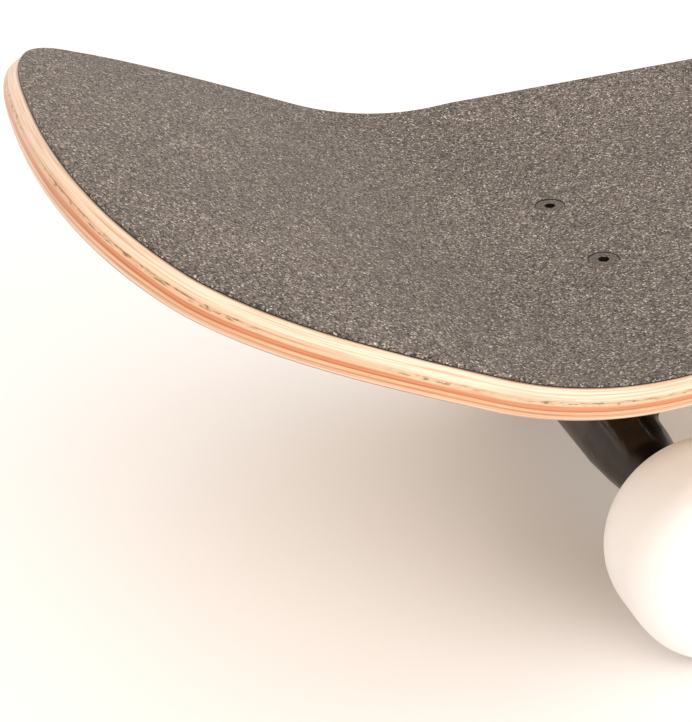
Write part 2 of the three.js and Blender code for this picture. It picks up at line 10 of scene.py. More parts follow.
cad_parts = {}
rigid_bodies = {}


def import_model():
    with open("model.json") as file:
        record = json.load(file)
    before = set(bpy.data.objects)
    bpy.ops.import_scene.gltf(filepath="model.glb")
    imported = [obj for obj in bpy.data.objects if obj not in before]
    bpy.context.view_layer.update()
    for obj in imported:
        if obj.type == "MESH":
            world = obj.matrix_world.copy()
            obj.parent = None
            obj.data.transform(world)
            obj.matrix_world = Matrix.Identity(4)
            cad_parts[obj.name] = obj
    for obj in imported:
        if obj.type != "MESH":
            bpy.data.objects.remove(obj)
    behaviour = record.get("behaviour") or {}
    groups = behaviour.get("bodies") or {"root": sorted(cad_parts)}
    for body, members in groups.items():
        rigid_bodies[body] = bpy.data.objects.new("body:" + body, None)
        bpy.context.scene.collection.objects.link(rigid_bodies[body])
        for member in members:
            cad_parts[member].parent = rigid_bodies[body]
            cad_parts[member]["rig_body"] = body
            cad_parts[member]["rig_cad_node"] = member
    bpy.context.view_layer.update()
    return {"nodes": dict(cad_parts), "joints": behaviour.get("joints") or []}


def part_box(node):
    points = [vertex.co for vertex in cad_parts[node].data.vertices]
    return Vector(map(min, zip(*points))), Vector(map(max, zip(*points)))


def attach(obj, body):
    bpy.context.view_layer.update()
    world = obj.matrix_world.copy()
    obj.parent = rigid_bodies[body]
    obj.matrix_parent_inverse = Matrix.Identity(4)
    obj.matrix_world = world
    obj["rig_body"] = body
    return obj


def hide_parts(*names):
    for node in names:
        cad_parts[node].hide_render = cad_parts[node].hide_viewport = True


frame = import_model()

bl_info = {
    "name": "Street skateboard",
    "version": (1, 0, 0),
    "blender": (4, 5, 0),
    "location": "View3D > Sidebar > Skateboard",
    "description": "Builds a skateboard's deck, grip, trucks, wheels and stage round its CAD frame",
    "category": "Object",
}

MM = 0.001

# ---------------------------------------------------------------- where things are

JOINTS = {joint["name"]: joint for joint in frame["joints"]}
RING = {end: Vector(JOINTS[f"steer_{end}"]["pos_m"]) for end in ("tail", "nose")}
MIDDLE = (RING["tail"].x + RING["nose"].x) / 2  # the board's own middle, along X
RING_IN_TRUCK = Vector((-8, 0, -33)) * MM  # hanger ring from the middle of the bolt pattern
PIVOT_IN_TRUCK = Vector((35, 0, -16)) * MM
AXLE_IN_TRUCK = Vector((21, 0, -53)) * MM
TRUCK_AT = RING["nose"].x - MIDDLE - RING_IN_TRUCK.x
DECK_UNDER = RING["nose"].z - RING_IN_TRUCK.z
KINGPIN_LEAN = math.radians(27)
KINGPIN_WAY = Vector((-math.sin(KINGPIN_LEAN), 0, -math.cos(KINGPIN_LEAN)))
PIVOT_WAY = (PIVOT_IN_TRUCK - RING_IN_TRUCK).normalized()
HOLE_LONG = 53.98 * MM
HOLE_WIDE = 41.28 * MM
WHEEL_AT = JOINTS["spin_left_nose"]["pos_m"][1]
TIP_LONG_POWER = 6.6  # how square the plan of each end is, along the board
TIP_WIDE_POWER = 2.55  # and across it
CONCAVE_FADE = 0.5  # share of each end along which the concave dies out
CONCAVE_LEAST = -4.5 * MM  # the edges droop this far at the tips
CONCAVE_FLAT = 0.2  # share of the half width that stays flat
SPINE_SHORT = 62 * MM  # the sheet's middle line stops this far from each tip
HEAD_RADIUS = 4.6  # a bolt head, in mm
HEAD_PROUD = 1.15  # and how far its top stands above the wood
SINK_RADIUS = 4.9  # the countersink at the top of the wood, in mm
CLEARANCE_RADIUS = 2.9  # and the hole below it
CAMERA_TARGET = Vector((-296.35, -20, 92.125)) * MM  # from the board's own middle, on the floor
CAMERA_LENS = 94.752  # in mm, on a 36 mm sensor
CAMERA_SHIFT = -0.08  # both ways
ENDS = (("tail", -1), ("nose", 1))
HANDS = (("right", -1), ("left", 1))

# ---------------------------------------------------------------- modelling helpers


def clear():
    """Nothing is selected and nothing is active."""
    bpy.ops.object.select_all(action="DESELECT")
    bpy.context.view_layer.objects.active = None


def focus(piece):
    """Only this piece is selected, and it is the active one."""
    clear()
    piece.select_set(True)
    bpy.context.view_layer.objects.active = piece


@contextmanager
def editing(piece, mode="VERT"):
    """Edit mode on one piece, with all of it selected."""
    focus(piece)
    bpy.ops.object.mode_set(mode="EDIT")
    bpy.ops.mesh.select_mode(type=mode)
    bpy.ops.mesh.select_all(action="SELECT")
    yield piece.data
    bpy.ops.object.mode_set(mode="OBJECT")


def started(name):
    """The primitive that was just added, under its own name."""
    piece = bpy.context.active_object
    piece.name = name
    piece.data.name = name
    return piece


def settle(piece, matrix):
    """Puts a piece where the matrix says, with its place in its mesh."""
    focus(piece)
    piece.matrix_world = matrix @ piece.matrix_world
    bpy.ops.object.transform_apply(location=True, rotation=True, scale=True)
    return piece


def modify(piece, kind, **settings):
    """Adds one modifier and applies it."""
    focus(piece)
    modifier = piece.modifiers.new(kind.title(), kind)
    for key, value in settings.items():
        setattr(modifier, key, value)
    bpy.ops.object.modifier_apply(modifier=modifier.name)
    return piece


def combine(piece, tool, operation):
    """Cuts, joins or intersects a piece with a tool, which is used up."""
    modify(piece, "BOOLEAN", object=tool, operation=operation, solver="EXACT")
    bpy.data.objects.remove(tool)
    return piece


def copied(piece, name, matrix):
    """A copy with its own mesh, moved by the matrix."""
    focus(piece)
    bpy.ops.object.duplicate(linked=False)
    return settle(started(name), matrix)


def merged(pieces, name):
    """Several pieces as one, each with its materials."""
    clear()
    for piece in pieces:
        piece.select_set(True)
    bpy.context.view_layer.objects.active = pieces[0]
    bpy.ops.object.join()
    return started(name)


def smooth(piece, degrees=35):
    focus(piece)
    bpy.ops.object.shade_smooth_by_angle(angle=math.radians(degrees))
    return piece


def dressed(piece, material):
    piece.data.materials.clear()
    piece.data.materials.append(material)
    return piece


def finished(piece, body, slot, *nodes):
    """Tells the frame what the piece moves with, and hides the CAD parts it stands for; the finish slot is
    not used.
    """
    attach(piece, body)
    if nodes:
        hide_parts(*nodes)
    return piece


def rounded(corners, closed=False, steps=4):
    """An outline in mm in which a corner given as (radius, height, round) is rounded off."""
    points = []
    for i, corner in enumerate(corners):
        here = Vector(corner[:2])
        if len(corner) < 3 or (not closed and i in (0, len(corners) - 1)):
            points.append(here)
            continue
        back = Vector(corners[i - 1][:2]) - here
        on = Vector(corners[(i + 1) % len(corners)][:2]) - here
        cut = min(corner[2], 0.48 * back.length, 0.48 * on.length)
        first, last = here + back.normalized() * cut, here + on.normalized() * cut
        for k in range(steps + 1):
            t = k / steps
            points.append(first * (1 - t) ** 2 + here * 2 * t * (1 - t) + last * t * t)
    return points


def thread(radius, low, high, pitch):
    """Thread ridges along a rod, from low to high, as points of its outline."""
    points = []
    turns = max(1, round(abs(high - low) / pitch))
    step = (high - low) / turns
    for k in range(turns):
        points += [(radius - 0.45 * pitch, low + (k + 0.05) * step), (radius, low + (k + 0.45) * step),
                   (radius, low + (k + 0.65) * step)]
    return points


def turned(name, outline, steps=96, closed=False):
    """Spins an outline of (radius, height) points in mm about Z. A closed outline makes a ring."""
    clear()
    bpy.ops.mesh.primitive_circle_add(vertices=len(outline), radius=MM)
    piece = started(name)
    for vertex, point in zip(piece.data.vertices, outline):
        vertex.co = (point[0] * MM, 0, point[1] * MM)
    ends = {0, len(outline) - 1}
    with editing(piece, "EDGE"):
        if not closed:
            bpy.ops.mesh.select_all(action="DESELECT")
            bpy.ops.object.mode_set(mode="OBJECT")
            for edge in piece.data.edges:
                edge.select = set(edge.vertices) == ends
            bpy.ops.object.mode_set(mode="EDIT")
            bpy.ops.mesh.delete(type="EDGE")
            bpy.ops.mesh.select_all(action="SELECT")
        bpy.ops.mesh.spin(steps=steps, angle=2 * math.pi, center=(0, 0, 0), axis=(0, 0, 1))
        bpy.ops.mesh.select_all(action="SELECT")
        bpy.ops.mesh.remove_doubles(threshold=1e-6)
        bpy.ops.mesh.normals_make_consistent(inside=False)
    return piece


def hexagon(name, flats, low, high):
    """A six-sided bar along Z, in mm, used as stock for nuts and heads and as a tool for sockets."""
    clear()
    bpy.ops.mesh.primitive_cylinder_add(
        vertices=6, radius=flats / math.sqrt(3) * MM, depth=(high - low) * MM,
        location=(0, 0, (high + low) / 2 * MM))
    return settle(started(name), Matrix.Identity(4))


def upright(way, origin):
    """The matrix that stands a piece made along Z on a line through origin."""
    turn = Vector(way).to_track_quat("Z", "Y").to_matrix().to_4x4()
    return Matrix.Translation(origin) @ turn


def truck_matrix(side):
    """The truck's own frame: X outwards along the board, the origin in the bolt pattern."""
    turn = Matrix.Rotation(math.pi if side < 0 else 0, 4, "Z")
    return Matrix.Translation((MIDDLE + side * TRUCK_AT, 0, DECK_UNDER)) @ turn


def kingpin_matrix(side, station=0):
    """A place along the kingpin, in mm from the middle of the ring, positive towards the floor."""
    return truck_matrix(side) @ upright(KINGPIN_WAY, RING_IN_TRUCK + KINGPIN_WAY * station * MM)


def axle_matrix(side, y, way=1):
    """A place on the axle, y in metres in the row frame, with Z along the axle."""
    axle = truck_matrix(side) @ AXLE_IN_TRUCK
    return upright((0, way, 0), (axle.x, y, axle.z))


# ---------------------------------------------------------------- materials


def linear(code):
    """An sRGB hex colour as linear red, green, blue and alpha."""
    parts = [int(code[i:i + 2], 16) / 255 for i in (1, 3, 5)]
    return tuple(c / 12.92 if c <= 0.04045 else ((c + 0.055) / 1.055) ** 2.4 for c in parts) + (1,)


def add_node(tree, kind, inputs=None, stops=None, **settings):
    """Adds a shader node. An input is a value, or another node's output to link from."""
    made = tree.nodes.new("ShaderNode" + kind)
    for key, value in settings.items():
        setattr(made, key, value)
    for key, value in (inputs or {}).items():
        if isinstance(value, bpy.types.NodeSocket):
            tree.links.new(value, made.inputs[key])
        else:
            made.inputs[key].default_value = value
    if stops:
        elements = made.color_ramp.elements
        while len(elements) < len(stops):
            elements.new(0.5)
        for element, (place, colour) in zip(elements, stops):
            element.position = place
            element.color = linear(colour) if isinstance(colour, str) else (colour, colour, colour, 1)
    return made


def new_material(name):
    """An empty material with its shader, under the real material's name."""
    material = bpy.data.materials.new(name)
    material.use_nodes = True
    tree = material.node_tree
    shader = tree.nodes["Principled BSDF"]
    return material, tree, shader


def shade(tree, shader, **inputs):
    """Sets or links the shader's own sockets, each by its name with spaces for underscores."""
    for key, value in inputs.items():
        socket = shader.inputs[key.replace("_", " ")]
        if isinstance(value, bpy.types.NodeSocket):
            tree.links.new(value, socket)
        else:
            socket.default_value = value


def maple_plies(deck):
    """Seven maple veneers pressed with glue, then sanded round and lacquered.

    The cut edge shows the plies as bands of cream, tan and dyed orange with glue lines and the
    open pores of the cross ply; the faces show long straight grain under a clear lacquer.
    """
    material, tree, shader = new_material("lacquered_maple_plies")
    where = add_node(tree, "TexCoord").outputs
    pattern = add_node(tree, "SeparateXYZ", {0: where["UV"]}).outputs
    # Veneers vary by about a tenth of a millimetre over 40 mm along the edge.
    run = add_node(tree, "CombineXYZ", {"X": pattern["X"]}).outputs[0]
    sway = add_node(tree, "TexNoise", {"Vector": run, "Scale": 25.0, "Detail": 2.0}).outputs["Fac"]
    shift = add_node(tree, "MapRange", {"Value": sway, "To Min": -0.18 * MM, "To Max": 0.18 * MM}).outputs[0]
    depth = add_node(tree, "Math", {0: pattern["Y"], 1: shift}, operation="ADD").outputs[0]
    share = add_node(tree, "Math", {0: depth, 1: deck.thickness}, operation="DIVIDE").outputs[0]
    # The darkest stop, at the very top of the edge just under the grip, is a thin line that is partly painted
    # shade of the grip and partly its glue.
    plies = add_node(tree, "ValToRGB", {"Fac": share}, stops=[
        (0.0, "#7a5a42"), (0.035, "#dcbfa4"), (0.07, "#e6cbb3"), (0.15, "#e5c9b0"), (0.165, "#d6b396"),
        (0.18, "#e6cab1"), (0.32, "#e1c0a4"), (0.36, "#cca382"), (0.41, "#dab290"), (0.47, "#e0ba98"),
        (0.50, "#cf976f"), (0.54, "#cc875d"), (0.61, "#c87d53"), (0.635, "#a9653e"), (0.66, "#dba476"),
        (0.71, "#e6b990"), (0.755, "#d9a880"), (0.785, "#b4835f"), (0.81, "#d2a580"), (0.86, "#dcb494"),
        (0.885, "#e6c5a7"), (0.95, "#e8ccb2"), (0.975, "#b39a84"), (1.0, "#6f6052")]).outputs["Color"]
    # End grain of the cross ply: torn pores 1 to 6 mm long, under 1 mm tall, at four tenths of the depth.
    stretch = add_node(tree, "Mapping", {"Vector": where["UV"], "Scale": (330.0, 1400.0, 1.0)}).outputs[0]
    pores = add_node(tree, "TexNoise", {"Vector": stretch, "Scale": 1.0, "Detail": 3.0,
                                        "Roughness": 0.6}).outputs["Fac"]
    deep = add_node(tree, "MapRange", {"Value": pores, "From Min": 0.50, "From Max": 0.58}).outputs[0]
    band = add_node(tree, "ValToRGB", {"Fac": share}, stops=[
        (0.33, 0.0), (0.37, 1.0), (0.43, 1.0), (0.47, 0.0)]).outputs["Color"]
    patch = add_node(tree, "TexNoise", {"Vector": run, "Scale": 18.0, "Detail": 1.0}).outputs["Fac"]
    torn = add_node(tree, "MapRange", {"Value": patch, "From Min": 0.42, "From Max": 0.54}).outputs[0]
    pit = add_node(tree, "Math", {0: deep, 1: band}, operation="MULTIPLY").outputs[0]
    pit = add_node(tree, "Math", {0: pit, 1: torn}, operation="MULTIPLY").outputs[0]
    # Fibre lines, 0.4 mm apart through the edge, run along the board: darker ones are redder.
    fibre_run = add_node(tree, "Mapping", {"Vector": where["UV"], "Scale": (34.0, 2400.0, 1.0)}).outputs[0]
    fibre = add_node(tree, "TexNoise", {"Vector": fibre_run, "Scale": 1.0, "Detail": 4.0}).outputs["Fac"]
    tint = add_node(tree, "ValToRGB", {"Fac": fibre}, stops=[
        (0.34, "#e6ccb6"), (0.45, "#f6eae0"), (0.54, "#fffdfb"), (0.68, "#fffefd")]).outputs["Color"]
    edge = add_node(tree, "Mix", {0: pit, 6: plies, 7: linear("#84693f")}, data_type="RGBA").outputs[2]
    edge = add_node(tree, "Mix", {0: 1.0, 6: edge, 7: tint}, data_type="RGBA",
                    blend_type="MULTIPLY").outputs[2]
    # Faces: straight grain with growth bands about 12 mm wide and pores 0.4 mm wide.
    long = add_node(tree, "Mapping", {"Vector": where["Object"], "Scale": (4.0, 85.0, 4.0)}).outputs[0]
    grain = add_node(tree, "TexNoise", {"Vector": long, "Scale": 1.0, "Detail": 6.0,
                                        "Distortion": 0.6}).outputs["Fac"]
    face = add_node(tree, "ValToRGB", {"Fac": grain}, stops=[
        (0.30, "#cdae86"), (0.48, "#dcc3a0"), (0.58, "#e6d2b4"), (0.72, "#d0b28b")]).outputs["Color"]
    long = add_node(tree, "Mapping", {"Vector": where["Object"], "Scale": (30.0, 2200.0, 30.0)}).outputs[0]
    hairs = add_node(tree, "TexNoise", {"Vector": long, "Scale": 1.0, "Detail": 2.0}).outputs["Fac"]
    hair = add_node(tree, "MapRange", {"Value": hairs, "From Min": 0.35, "From Max": 0.65,
                                       "To Min": 0.85, "To Max": 1.05}).outputs[0]
    face = add_node(tree, "Mix", {0: 1.0, 6: face, 7: hair}, data_type="RGBA",
                    blend_type="MULTIPLY").outputs[2]
    outer = add_node(tree, "Math", {0: pattern["Y"], 1: deck.thickness - 0.03 * MM},
                     operation="GREATER_THAN").outputs[0]
    inner = add_node(tree, "Math", {0: pattern["Y"], 1: 0.01 * MM}, operation="LESS_THAN").outputs[0]
    flat = add_node(tree, "Math", {0: outer, 1: inner}, operation="MAXIMUM").outputs[0]
    colour = add_node(tree, "Mix", {0: flat, 6: edge, 7: face}, data_type="RGBA").outputs[2]
    lines = add_node(tree, "Math", {0: fibre, 1: pit}, operation="SUBTRACT").outputs[0]
    bump = add_node(tree, "Bump", {"Height": lines, "Strength": 0.25, "Distance": 0.25 * MM}).outputs[0]
    shade(tree, shader, Base_Color=colour, Roughness=0.42, Coat_Weight=0.35, Coat_Roughness=0.18,
          Normal=bump)
    return material


def grip_sheet(grip):
    """Silicon-carbide grit glued to a tough paper: matt charcoal, with painted glints on a few grains.

    Grains are 0.3 to 0.6 mm; each has its own grey and a few are black; a few are painted nearly white as
    glints.
    """
    material, tree, shader = new_material("silicon_carbide_grip_sheet")
    source = add_node(tree, "TexCoord").outputs
    where = source["Object"]
    grains = add_node(tree, "TexVoronoi", {"Vector": where, "Scale": 1 / grip.grain}, feature="F1")
    pick = add_node(tree, "SeparateXYZ", {0: grains.outputs["Color"]}).outputs
    # Each grain takes a grey at random; the two palest stops, up to nearly white, are painted glints.
    grey = add_node(tree, "ValToRGB", {"Fac": pick["X"]}, stops=[
        (0.0, "#1b1816"), (0.14, "#38312c"), (0.36, "#5a5048"), (0.66, "#71655b"), (0.86, "#887c70"),
        (0.96, "#aa9f93"), (1.0, "#d6cdc2")]).outputs["Color"]
    dust = add_node(tree, "TexNoise", {"Vector": where, "Scale": 14.0, "Detail": 3.0}).outputs["Fac"]
    wash = add_node(tree, "MapRange", {"Value": dust, "From Min": 0.3, "From Max": 0.7,
                                       "To Min": 0.88, "To Max": 1.1}).outputs[0]
    colour = add_node(tree, "Mix", {0: 1.0, 6: grey, 7: wash}, data_type="RGBA",
                      blend_type="MULTIPLY").outputs[2]
    # The sheet's cut edge shows the black paper and glue.
    pattern = add_node(tree, "SeparateXYZ", {0: source["UV"]}).outputs
    rim = add_node(tree, "Math", {0: pattern["Y"], 1: -0.35 * MM}, operation="GREATER_THAN").outputs[0]
    colour = add_node(tree, "Mix", {0: rim, 6: colour, 7: linear("#15110e")}, data_type="RGBA").outputs[2]
    height = add_node(tree, "Math", {0: pick["Y"], 1: grains.outputs["Distance"]},
                      operation="SUBTRACT").outputs[0]
    bump = add_node(tree, "Bump", {"Height": height, "Strength": 0.7, "Distance": 0.2 * MM}).outputs[0]
    shade(tree, shader, Base_Color=colour, Roughness=0.72, Specular_IOR_Level=0.45, Normal=bump)
    return material


def black_enamel():
    """Sand-cast aluminium, tumbled and coated with black enamel.

    Deep black with soft satin highlights from the cast skin below the film; its warm brown tint is a painted
    reflection of the wood and floor.
    """
    material, tree, shader = new_material("black_enamelled_cast_aluminium")
    where = add_node(tree, "TexCoord").outputs["Object"]
    skin = add_node(tree, "TexNoise", {"Vector": where, "Scale": 260.0, "Detail": 3.0}).outputs["Fac"]
    peel = add_node(tree, "TexNoise", {"Vector": where, "Scale": 900.0, "Detail": 1.0}).outputs["Fac"]
    # The black is tinted warm brown as a painted reflection of the maple and the floor; the skin noise varies
    # it at random.
    colour = add_node(tree, "ValToRGB", {"Fac": skin}, stops=[
        (0.3, "#0d0906"), (0.7, "#17100b")]).outputs["Color"]
    rough = add_node(tree, "MapRange", {"Value": skin, "To Min": 0.22, "To Max": 0.40}).outputs[0]
    height = add_node(tree, "Math", {0: skin, 1: peel}, operation="ADD").outputs[0]
    bump = add_node(tree, "Bump", {"Height": height, "Strength": 0.12, "Distance": 0.25 * MM}).outputs[0]
    shade(tree, shader, Base_Color=colour, Roughness=rough, Specular_IOR_Level=0.4,
          Specular_Tint=linear("#ffe2c8"), Coat_Weight=0.05, Coat_Roughness=0.12, Normal=bump)
    return material


def zinc_steel():
    """Turned steel, zinc plated: a bright blue-grey metal with fine tool marks and dull patches."""
    material, tree, shader = new_material("zinc_plated_steel")
    where = add_node(tree, "TexCoord").outputs["Object"]
    cloud = add_node(tree, "TexNoise", {"Vector": where, "Scale": 180.0, "Detail": 4.0}).outputs["Fac"]
    colour = add_node(tree, "ValToRGB", {"Fac": cloud}, stops=[
        (0.3, "#a9abae"), (0.7, "#cfd1d3")]).outputs["Color"]
    rough = add_node(tree, "MapRange", {"Value": cloud, "To Min": 0.22, "To Max": 0.42}).outputs[0]
    marks = add_node(tree, "TexNoise", {"Vector": where, "Scale": 1800.0, "Detail": 2.0}).outputs["Fac"]
    bump = add_node(tree, "Bump", {"Height": marks, "Strength": 0.1, "Distance": 0.05 * MM}).outputs[0]
    shade(tree, shader, Base_Color=colour, Metallic=1.0, Roughness=rough, Normal=bump)
    return material


def black_oxide():
    """Screw steel blackened in an oxide bath: brown-black, satin, with oil left in the corners."""
    material, tree, shader = new_material("black_oxide_steel")
    where = add_node(tree, "TexCoord").outputs["Object"]
    cloud = add_node(tree, "TexNoise", {"Vector": where, "Scale": 500.0, "Detail": 3.0}).outputs["Fac"]
    colour = add_node(tree, "ValToRGB", {"Fac": cloud}, stops=[
        (0.3, "#2b211b"), (0.7, "#4a3a30")]).outputs["Color"]
    rough = add_node(tree, "MapRange", {"Value": cloud, "To Min": 0.35, "To Max": 0.55}).outputs[0]
    shade(tree, shader, Base_Color=colour, Metallic=0.7, Roughness=rough)
    return material


def dusty_oxide():
    """The screw heads' tops, where grit and dust have settled: matt, mottled, near the sheet's grey."""
    material, tree, shader = new_material("dusty_black_oxide_steel")
    where = add_node(tree, "TexCoord").outputs["Object"]
    dust = add_node(tree, "TexNoise", {"Vector": where, "Scale": 1500.0, "Detail": 3.0}).outputs["Fac"]
    colour = add_node(tree, "ValToRGB", {"Fac": dust}, stops=[
        (0.34, "#2f2823"), (0.48, "#574e47"), (0.62, "#71675e")]).outputs["Color"]
    bump = add_node(tree, "Bump", {"Height": dust, "Strength": 0.3, "Distance": 0.1 * MM}).outputs[0]
    shade(tree, shader, Base_Color=colour, Roughness=0.75, Specular_IOR_Level=0.4, Normal=bump)
    return material


def wheel_urethane():
    """Cast polyurethane, lathe cut: warm off-white, half matt and faintly milky at the edges."""
    material, tree, shader = new_material("cast_wheel_urethane")
    where = add_node(tree, "TexCoord").outputs["Object"]
    cloud = add_node(tree, "TexNoise", {"Vector": where, "Scale": 22.0, "Detail": 3.0}).outputs["Fac"]
    colour = add_node(tree, "ValToRGB", {"Fac": cloud}, stops=[
        (0.3, "#f8f1eb"), (0.7, "#fbf6f2")]).outputs["Color"]
    cut = add_node(tree, "TexNoise", {"Vector": where, "Scale": 1400.0, "Detail": 2.0}).outputs["Fac"]
    rough = add_node(tree, "MapRange", {"Value": cut, "To Min": 0.38, "To Max": 0.5}).outputs[0]
    bump = add_node(tree, "Bump", {"Height": cut, "Strength": 0.12, "Distance": 0.06 * MM}).outputs[0]
    shade(tree, shader, Base_Color=colour, Roughness=rough, IOR=1.5, Subsurface_Weight=0.12,
          Subsurface_Scale=0.004, Normal=bump)
    return material


def soft_urethane(name, dark, light, roughness):
    """Poured urethane for bushings and pivot cups: dense, smooth and slightly greasy."""
    material, tree, shader = new_material(name)
    where = add_node(tree, "TexCoord").outputs["Object"]
    cloud = add_node(tree, "TexNoise", {"Vector": where, "Scale": 160.0, "Detail": 3.0}).outputs["Fac"]
    colour = add_node(tree, "ValToRGB", {"Fac": cloud}, stops=[(0.3, dark), (0.7, light)]).outputs["Color"]
    bump = add_node(tree, "Bump", {"Height": cloud, "Strength": 0.15, "Distance": 0.1 * MM}).outputs[0]
    shade(tree, shader, Base_Color=colour, Roughness=roughness, IOR=1.5, Normal=bump)
    return material


def race_steel():
    """Ground chrome steel of the ball bearings: mirror bright with faint grinding haze."""
    material, tree, shader = new_material("ground_bearing_steel")
    where = add_node(tree, "TexCoord").outputs["Object"]
    haze = add_node(tree, "TexNoise", {"Vector": where, "Scale": 700.0, "Detail": 2.0}).outputs["Fac"]
    colour = add_node(tree, "ValToRGB", {"Fac": haze}, stops=[
        (0.3, "#c9cacc"), (0.7, "#dddedf")]).outputs["Color"]
    rough = add_node(tree, "MapRange", {"Value": haze, "To Min": 0.12, "To Max": 0.24}).outputs[0]
    shade(tree, shader, Base_Color=colour, Metallic=1.0, Roughness=rough)
    return material


def studio_floor():
    """Matt white painted board, a little warm."""
    material, tree, shader = new_material("matt_studio_board")
    where = add_node(tree, "TexCoord").outputs["Object"]
    cloud = add_node(tree, "TexNoise", {"Vector": where, "Scale": 3.0, "Detail": 2.0}).outputs["Fac"]
    colour = add_node(tree, "ValToRGB", {"Fac": cloud}, stops=[
        (0.3, "#f7f3f0"), (0.7, "#f9f5f2")]).outputs["Color"]
    shade(tree, shader, Base_Color=colour, Roughness=0.85, Specular_IOR_Level=0.15)
    return material


FINISHES = {}


def finish(name, make, *details):
    """Each material is made once and then shared."""
    if name not in FINISHES:
        FINISHES[name] = make(*details)
    return FINISHES[name]


# ---------------------------------------------------------------- deck and grip


def board_point(deck, along, across, depth):
    """Where a point of the flat pattern goes once the veneers are pressed. All in metres."""
    side = -1 if along < 0 else 1
    kick_at = TRUCK_AT + HOLE_LONG / 2 + deck.kick_start
    past = max(abs(along) - kick_at, 0)
    turn = min(past / deck.kick_radius, deck.kick_angle)
    rest = max(past - deck.kick_radius * deck.kick_angle, 0)
    out = min(abs(along), kick_at) + deck.kick_radius * math.sin(turn) + rest * math.cos(deck.kick_angle)
    up = deck.kick_radius * (1 - math.cos(turn)) + rest * math.sin(deck.kick_angle)
    reach = (deck.tail_length if side < 0 else deck.nose_length) - deck.kick_start
    rise = max(deck.concave * (1 - past / reach / CONCAVE_FADE), CONCAVE_LEAST)
    bend = max(abs(across) / (deck.width / 2) - CONCAVE_FLAT, 0) / (1 - CONCAVE_FLAT)
    lift = rise * bend * bend - depth
    return Vector((MIDDLE + side * (out - lift * math.sin(turn)), across,
                   DECK_UNDER + deck.thickness + up + lift * math.cos(turn)))


def half_width_at(deck, along):
    length = deck.tail_length if along < 0 else deck.nose_length
    start = TRUCK_AT + HOLE_LONG / 2 + deck.taper_start
    t = min(max((abs(along) - start) / (length - deck.taper_start), 0), 1)
    return deck.width / 2 * (1 - t ** TIP_LONG_POWER) ** (1 / TIP_WIDE_POWER)


def stations(deck):
    """Places along the board, closer together over the bends and round the ends."""
    holes = TRUCK_AT + HOLE_LONG / 2
    kick = holes + deck.kick_start
    bent = kick + deck.kick_radius * deck.kick_angle
    flat_steps, bend_steps, tip_steps = 56, 26, 60
    places = [-kick + 2 * kick * k / flat_steps for k in range(flat_steps + 1)]
    for side, length in ((-1, deck.tail_length), (1, deck.nose_length)):
        places += [side * (kick + (bent - kick) * k / bend_steps) for k in range(1, bend_steps + 1)]
        for k in range(tip_steps):
            t = math.cos(math.pi / 2 * k / tip_steps) ** (2 / TIP_LONG_POWER)
            place = holes + deck.taper_start + (length - deck.taper_start) * t
            if place > bent + 0.8 * MM:
                places.append(side * place)
    return sorted(places)


def outline(deck):
    """The closed plan outline, as (point, inward direction, run along the edge so far)."""
    line = stations(deck)
    points = [Vector((s, -half_width_at(deck, s))) for s in line]
    points += [Vector((s, half_width_at(deck, s))) for s in line[-2:0:-1]]
    result, run = [], 0
    for i, point in enumerate(points):
        way = (points[(i + 1) % len(points)] - points[i - 1]).normalized()
        result.append((point, Vector((-way.y, way.x)), run))
        run += (points[(i + 1) % len(points)] - point).length
    return result, run


def pressed_sheet(name, deck, rings):
    """A sheet that follows the board. Each ring is (share of the way out, inset, depth).

    Its UV map holds the run along the edge and the depth, both in metres.
    """
    edge, whole = outline(deck)
    count = len(edge)
    holes = TRUCK_AT + HOLE_LONG / 2
    spine_tail = -(holes + deck.tail_length - SPINE_SHORT)
    spine_nose = holes + deck.nose_length - SPINE_SHORT
    clear()
    bpy.ops.mesh.primitive_grid_add(x_subdivisions=count, y_subdivisions=len(rings) - 1, size=1)
    piece = started(name)
    mesh = piece.data
    place = {}
    for vertex in mesh.vertices:
        column = round((vertex.co.x + 0.5) * count)
        row = round((vertex.co.y + 0.5) * (len(rings) - 1))
        point, inward, run = edge[column % count]
        share, inset, depth = rings[row]
        at = point + inward * inset
        spine = Vector((min(max(at.x, spine_tail), spine_nose), 0))
        at = spine.lerp(at, share)
        vertex.co = board_point(deck, at.x, at.y, depth)
        place[vertex.index] = (whole if column == count else run, depth)
    layer = mesh.uv_layers.active.data
    for loop in mesh.loops:
        layer[loop.index].uv = place[loop.vertex_index]
    with editing(piece):
        bpy.ops.mesh.remove_doubles(threshold=2e-6)
        bpy.ops.mesh.normals_make_consistent(inside=False)
    return piece


def bolt_places():
    """(end, number, x, y) of the eight bolt holes."""
    places = []
    for end, side in ENDS:
        number = 0
        for along in (-0.5, 0.5):
            for across in (-0.5, 0.5):
                number += 1
                places.append((end, number, MIDDLE + side * TRUCK_AT + along * HOLE_LONG, across * HOLE_WIDE))
    return places


def bored(piece, profile, top):
    """Cuts all eight bolt holes with a spun tool."""
    tool = turned("tool", profile, steps=48)
    tools = [copied(tool, "tool_copy", Matrix.Translation((x, y, top))) for _, _, x, y in bolt_places()]
    bpy.data.objects.remove(tool)
    return combine(piece, merged(tools, "tools"), "DIFFERENCE")


